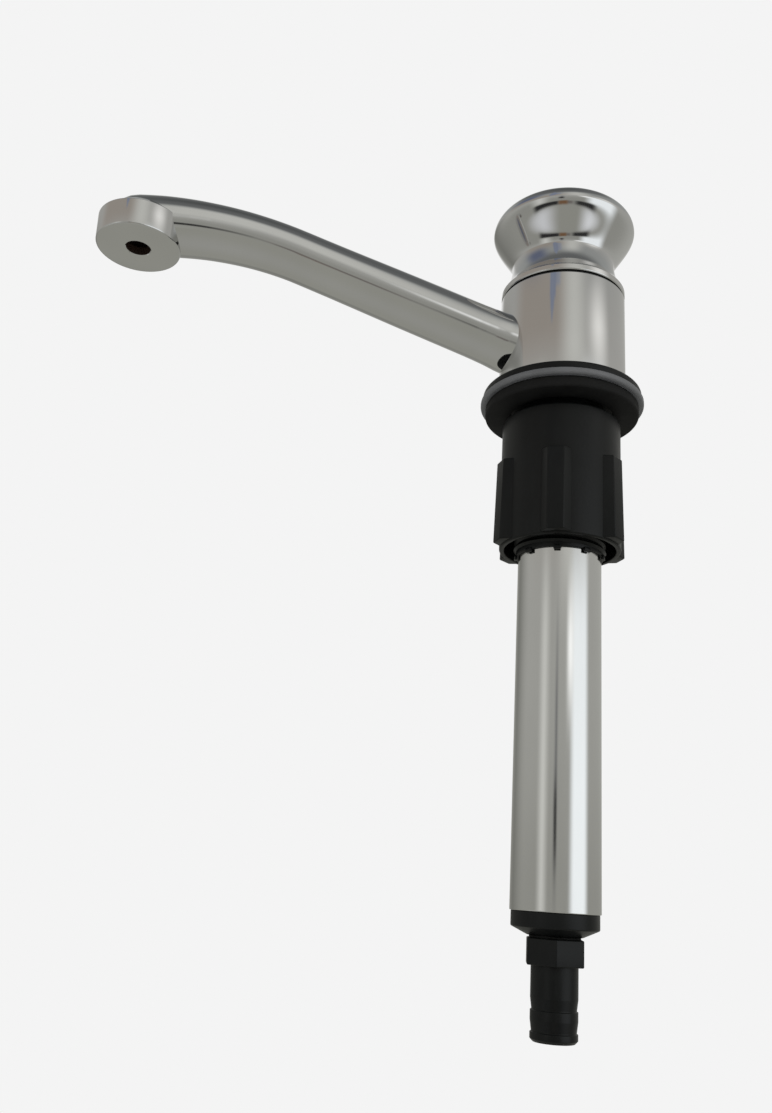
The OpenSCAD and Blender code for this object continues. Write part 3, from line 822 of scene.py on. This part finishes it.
def build_foot():
    """The foot cap in the barrel's end, the hose tail with its hexagon and low barbs, and the washer."""
    outline = rounded([(0, CAP_LOW, 0), (7.7, CAP_LOW, 0.3), (CAP_R, -154.7, 0.5),
                       (CAP_R, CAP_LIP_TOP, 0.25), (CAP_PLUG_R, CAP_LIP_TOP, 0), (CAP_PLUG_R, CAP_TOP, 0.4),
                       (8.0, CAP_TOP, 0), (8.0, CAP_TOP - 2, 0), (CAP_BORE_R, CAP_TOP - 2, 0),
                       (CAP_BORE_R, CAP_BORE_END, 0), (0, CAP_BORE_END - 0.1, 0)])
    finished(turned("cap_moulding", outline, 192), BLACK, "root", "black_plastic", "foot_cap")
    collar = hexagon("collar", HEX_ACROSS, HEX_LOW, HEX_TOP, 0.35)
    outline = rounded([(TAIL_BORE_R, TAIL_TOP, 0), (6.2, TAIL_TOP, 0.2), (6.2, -160, 0), (TAIL_R, -160, 0),
                       (TAIL_R, -172.6, 0.15), (TAIL_GROOVE_R, -175.28, 0.2),
                       (TAIL_GROOVE_R, -175.62, 0.1), (TAIL_R, -175.66, 0.25),
                       (TAIL_R, -178.1, 0.15), (TAIL_GROOVE_R, -180.78, 0.2),
                       (TAIL_GROOVE_R, -181.1, 0.1), (TAIL_R, -181.15, 0.2),
                       (TAIL_R, TAIL_END + 0.8, 0.2), (5.7, TAIL_END, 0.25), (TAIL_BORE_R, TAIL_END, 0.3)])
    spigot = turned("spigot", outline, 160)
    piece = joined("hose_tail_moulding", [collar, spigot])
    finished(piece, BLACK, "root", "black_plastic", "hose_tail")
    low = HEX_TOP + 0.02
    high = CAP_LOW - 0.02
    outline = rounded([(6.3, low, 0), (7.15, low, 0.12), (7.15, high, 0.12), (6.3, high, 0)])
    finished(turned("washer", outline, 128), RUBBER, "root", "black_rubber", "tail_washer")


# The rod, its guide and the pieces inside

def build_rod():
    """The rod, from inside the knob down through the piston and its nut."""
    low = -133.0
    high = KNOB_Z + 8.4
    outline = rounded([(0, low, 0), (ROD_R, low, 0.3), (ROD_R, high, 0.2), (0, high, 0)])
    finished(turned("rod", outline, 128), ROD_STEEL, "plunger", "steel", "pump_rod")


def build_guide():
    """The rod guide: a plug in the head's spigot under a wide thin rim."""
    bore_r = ROD_R + SLIDE_GAP
    plug_low = THROAT_TOP + 0.1
    plug_high = GUIDE_FLOOR + 0.1
    outline = rounded([(bore_r, plug_low, 0), (GUIDE_PLUG_R, plug_low, 0.2), (GUIDE_PLUG_R, plug_high, 0),
                       (GUIDE_R, plug_high, 0), (GUIDE_R, GUIDE_RIM_LOW, 0),
                       (GUIDE_RIM_R, GUIDE_RIM_LOW, 0.12), (GUIDE_RIM_R, GUIDE_TOP, 0.15),
                       (6.6, GUIDE_TOP, 0.2), (5.6, GUIDE_TOP - 0.6, 0.2), (bore_r, GUIDE_TOP - 0.6, 0.15)])
    finished(turned("guide_moulding", outline, 192), BLACK, "root", "black_plastic", "rod_guide")


def finish_inner_nodes():
    """The solids that stay as they are get the finish of their material."""
    finishes = {
        "rod_seal": RUBBER, "swivel_seals": RUBBER, "tube_seal": RUBBER, "piston_seal": RUBBER,
        "piston_valve": RUBBER, "cap_seal": RUBBER, "piston_body": ACETAL, "valve_stop": ROD_STEEL,
        "piston_nut": ROD_STEEL, "foot_ball": ROD_STEEL, "ball_stop": BLACK,
    }
    for name, material in finishes.items():
        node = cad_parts[name]
        node.data.materials.clear()
        node.data.materials.append(material)


build_knob()
build_spout()
build_body()
build_head()
build_flange()
build_nut()
build_barrel()
build_foot()
build_rod()
build_guide()
finish_inner_nodes()


# Camera

def set_camera():
    """The camera stands low in front of the pump and looks up at it, as in the photograph."""
    yaw = -0.176
    pitch = 0.314
    roll = 0.067
    place = (0, -0.304287, -0.146875)
    photo_height = 1113
    focal_pixels = 1020.288
    sensor = 36
    ahead = Vector((math.sin(yaw) * math.cos(pitch), math.cos(yaw) * math.cos(pitch), math.sin(pitch)))
    side = Vector((math.cos(yaw), -math.sin(yaw), 0))
    up = side.cross(ahead)
    right = side * math.cos(roll) + up * math.sin(roll)
    top = up * math.cos(roll) - side * math.sin(roll)
    data = bpy.data.cameras.new("camera")
    camera = bpy.data.objects.new("camera", data)
    bpy.context.scene.collection.objects.link(camera)
    turn = Matrix((right, top, -ahead)).transposed().to_4x4()
    camera.matrix_world = Matrix.Translation(place) @ turn
    data.sensor_fit = "VERTICAL"
    data.sensor_height = sensor
    data.lens = focal_pixels * sensor / photo_height
    data.shift_x = -1.176 / photo_height
    data.shift_y = -1.566 / photo_height
    data.clip_start = 0.01
    data.clip_end = 50
    bpy.context.scene.camera = camera


# Studio

BACKDROP = (0.905, 0.905, 0.905)
SOFT_LIGHT = (0.62, 0.62, 0.615)

# What polished surfaces mirror: soft cards round the pump. Each has its bearing, half width and softness in
# turns from behind (0.5 lies towards the camera, and more is to its right), the same three for its height in
# degrees, and its colour. A later card lies over the ones before it.
CARDS = [
    (0.12, 0.06, 0.08, 5, 26, 8, (0.22, 0.22, 0.20)),
    (0.40, 0.15, 0.05, 34, 10, 7, (0.39, 0.355, 0.315)),
    (0.30, 0.07, 0.05, 52, 9, 7, (0.15, 0.17, 0.24)),
    (0.462, 0.026, 0.010, 46, 7.6, 0.8, (0.30, 0.32, 0.38)),
    (0.449, 0.015, 0.006, 46, 10.3, 1.2, (0.25, 0.28, 0.36)),
    (0.447, 0.009, 0.005, 46, 12.8, 1.3, (0.25, 0.28, 0.36)),
    (0.447, 0.004, 0.004, 46, 15.0, 1.3, (0.26, 0.29, 0.37)),
    (0.40, 0.022, 0.03, 3, 16, 6, (0.76, 0.76, 0.72)),
    (0.56, 0.05, 0.05, 36, 18, 8, (0.66, 0.66, 0.62)),
    (0.69, 0.04, 0.04, 30, 6, 8, (1.05, 1.04, 1.0)),
    (0.665, 0.062, 0.025, 3, 17, 6, (1.18, 1.23, 1.25)),
    (0.492, 0.006, 0.013, 4, 9, 7, (0.14, 0.14, 0.15)),
    (0.59, 0.02, 0.02, 13, 4, 5, (1.45, 1.46, 1.44)),
    (0.02, 0.055, 0.03, 38, 13, 6, (0.80, 0.80, 0.79)),
    (0.36, 0.08, 0.05, -27, 4.5, 4, (0.80, 0.81, 0.83)),
    (0.655, 0.055, 0.04, -27, 5, 4, (0.98, 1.0, 1.03)),
    (0.425, 0.055, 0.014, -17.5, 3.6, 2, (0.03, 0.03, 0.03)),
    (0.595, 0.045, 0.018, -17.5, 3.6, 2, (0.035, 0.035, 0.035)),
    (0.526, 0.012, 0.008, -17.5, 3.0, 2, (0.20, 0.185, 0.17)),
    (0.498, 0.019, 0.008, -17.5, 3.8, 2, (0.21, 0.12, 0.065)),
    (0.490, 0.010, 0.008, -1.5, 3, 1.5, (0.02, 0.02, 0.02)),
]
# The studio's own shade behind the cards, by height in degrees, from straight down to straight up
SHADES = [(-90, (0.40, 0.40, 0.37)), (-35, (0.37, 0.37, 0.33)), (-8, (0.36, 0.36, 0.33)),
          (12, (0.45, 0.45, 0.42)), (30, (0.46, 0.455, 0.43)), (50, (0.36, 0.37, 0.36)),
          (66, (0.16, 0.165, 0.165)), (90, (0.10, 0.105, 0.105))]
CARD_PLACE = ("Bearing Centre", "Bearing Half", "Bearing Soft", "Height Centre", "Height Half", "Height Soft")


def card_group():
    """One soft card laid over what lies behind it."""
    group = bpy.data.node_groups.new("mirror_card", "ShaderNodeTree")
    for label in ("Bearing", "Height", *CARD_PLACE):
        group.interface.new_socket(label, in_out="INPUT", socket_type="NodeSocketFloat")
    group.interface.new_socket("Card", in_out="INPUT", socket_type="NodeSocketColor")
    group.interface.new_socket("Behind", in_out="INPUT", socket_type="NodeSocketColor")
    group.interface.new_socket("Colour", in_out="OUTPUT", socket_type="NodeSocketColor")
    given = group.nodes.new("NodeGroupInput")
    out = group.nodes.new("NodeGroupOutput")
    link = group.links.new

    def share(kind):
        """How much of the card is seen at this bearing or height, from 0 to 1."""
        away = math_node(group, "SUBTRACT", given.outputs[kind], given.outputs[kind + " Centre"])
        if kind == "Bearing":
            away = math_node(group, "WRAP", away, 0.5, -0.5)
        inside = group.nodes.new("ShaderNodeMapRange")
        inside.interpolation_type = "SMOOTHSTEP"
        half = given.outputs[kind + " Half"]
        soft = given.outputs[kind + " Soft"]
        link(math_node(group, "ABSOLUTE", away), inside.inputs["Value"])
        link(math_node(group, "ADD", half, soft), inside.inputs["From Min"])
        link(math_node(group, "SUBTRACT", half, soft), inside.inputs["From Max"])
        return inside.outputs[0]

    mix = group.nodes.new("ShaderNodeMix")
    mix.data_type = "RGBA"
    link(math_node(group, "MULTIPLY", share("Bearing"), share("Height")), mix.inputs["Factor"])
    link(given.outputs["Behind"], mix.inputs[6])
    link(given.outputs["Card"], mix.inputs[7])
    link(mix.outputs[2], out.inputs[0])
    return group


def set_world():
    """A pale backdrop for the camera, soft even light, and a studio of cards for reflections."""
    world = bpy.data.worlds.new("studio")
    world.use_nodes = True
    bpy.context.scene.world = world
    tree = world.node_tree
    link = tree.links.new
    place = tree.nodes.new("ShaderNodeTexCoord")
    axes = tree.nodes.new("ShaderNodeSeparateXYZ")
    link(place.outputs["Generated"], axes.inputs[0])

    def mix(share, a, b):
        """The first colour, or as much of the second as the share says."""
        node = tree.nodes.new("ShaderNodeMix")
        node.data_type = "RGBA"
        link(share, node.inputs["Factor"])
        for socket, value in zip((node.inputs[6], node.inputs[7]), (a, b)):
            if isinstance(value, tuple):
                socket.default_value = (*value, 1)
            else:
                link(value, socket)
        return node.outputs[2]

    ahead = math_node(tree, "MULTIPLY", axes.outputs["Y"], -1)
    angle = math_node(tree, "ARCTAN2", axes.outputs["X"], ahead)
    bearing = math_node(tree, "ADD", math_node(tree, "DIVIDE", angle, 2 * math.pi), 0.5)
    height = math_node(tree, "MULTIPLY", math_node(tree, "ARCSINE", axes.outputs["Z"]), 180 / math.pi)
    share_up = math_node(tree, "ADD", math_node(tree, "DIVIDE", height, 180), 0.5)
    studio = ramp_node(tree, share_up, [(at / 180 + 0.5, colour) for at, colour in SHADES], "EASE")
    group = card_group()
    for card in CARDS:
        node = tree.nodes.new("ShaderNodeGroup")
        node.node_tree = group
        link(bearing, node.inputs["Bearing"])
        link(height, node.inputs["Height"])
        for label, value in zip(CARD_PLACE, card):
            node.inputs[label].default_value = value
        node.inputs["Card"].default_value = (*card[6], 1)
        link(studio, node.inputs["Behind"])
        studio = node.outputs[0]
    path = tree.nodes.new("ShaderNodeLightPath")
    shown = mix(path.outputs["Is Glossy Ray"], SOFT_LIGHT, studio)
    seen = mix(path.outputs["Is Camera Ray"], shown, BACKDROP)
    background = tree.nodes["Background"]
    background.inputs["Strength"].default_value = 1
    link(seen, background.inputs["Color"])


def soft_lamp(name, place, width, height, power):
    """A wide lamp aimed at the pump's middle, which neither the camera nor a reflection sees."""
    aim = Vector((0, 0, -0.05))
    data = bpy.data.lights.new(name, "AREA")
    data.shape = "RECTANGLE"
    data.size = width
    data.size_y = height
    data.energy = power
    lamp = bpy.data.objects.new(name, data)
    bpy.context.scene.collection.objects.link(lamp)
    lamp.location = place
    lamp.rotation_euler = (aim - Vector(place)).to_track_quat("-Z", "Y").to_euler()
    lamp.visible_camera = False
    lamp.visible_glossy = False


def set_floor():
    """A plain pale floor under the hanging pump, which fades into the backdrop."""
    bpy.ops.mesh.primitive_circle_add(vertices=128, radius=1.0, fill_type="NGON", location=(0, 0, -0.42))
    floor = bpy.context.object
    floor.name = "floor"
    material = bpy.data.materials.new("floor_paper")
    material.use_nodes = True
    tree = material.node_tree
    link = tree.links.new
    paper = tree.nodes["Principled BSDF"]
    paper.inputs["Roughness"].default_value = 0.9
    paper.inputs["Specular IOR Level"].default_value = 0.1
    noise = tree.nodes.new("ShaderNodeTexNoise")
    noise.inputs["Scale"].default_value = 3
    tint = ramp_node(tree, noise.outputs[0], [(0, (0.86, 0.86, 0.86)), (1, (0.88, 0.88, 0.88))])
    link(tint, paper.inputs["Base Color"])
    place = tree.nodes.new("ShaderNodeTexCoord")
    length = tree.nodes.new("ShaderNodeVectorMath")
    length.operation = "LENGTH"
    link(place.outputs["Object"], length.inputs[0])
    fade = tree.nodes.new("ShaderNodeMapRange")
    fade.interpolation_type = "SMOOTHSTEP"
    fade.inputs["From Min"].default_value = 0.3
    fade.inputs["From Max"].default_value = 0.9
    link(length.outputs["Value"], fade.inputs["Value"])
    path = tree.nodes.new("ShaderNodeLightPath")
    seen = math_node(tree, "MAXIMUM", path.outputs["Is Camera Ray"], path.outputs["Is Transmission Ray"])
    share = math_node(tree, "MULTIPLY", fade.outputs[0], seen)
    glow = tree.nodes.new("ShaderNodeEmission")
    glow.inputs["Color"].default_value = (*BACKDROP, 1)
    blend = tree.nodes.new("ShaderNodeMixShader")
    link(share, blend.inputs["Fac"])
    link(paper.outputs[0], blend.inputs[1])
    link(glow.outputs[0], blend.inputs[2])
    link(blend.outputs[0], tree.nodes["Material Output"].inputs["Surface"])
    floor.data.materials.append(material)
    floor.visible_glossy = False


set_camera()
set_world()
soft_lamp("key", (0.75, -0.75, 0.55), 0.6, 0.8, 9)
soft_lamp("fill", (-0.9, -0.6, 0.25), 0.7, 0.9, 4)
set_floor()
bpy.context.scene.view_settings.view_transform = "Standard"
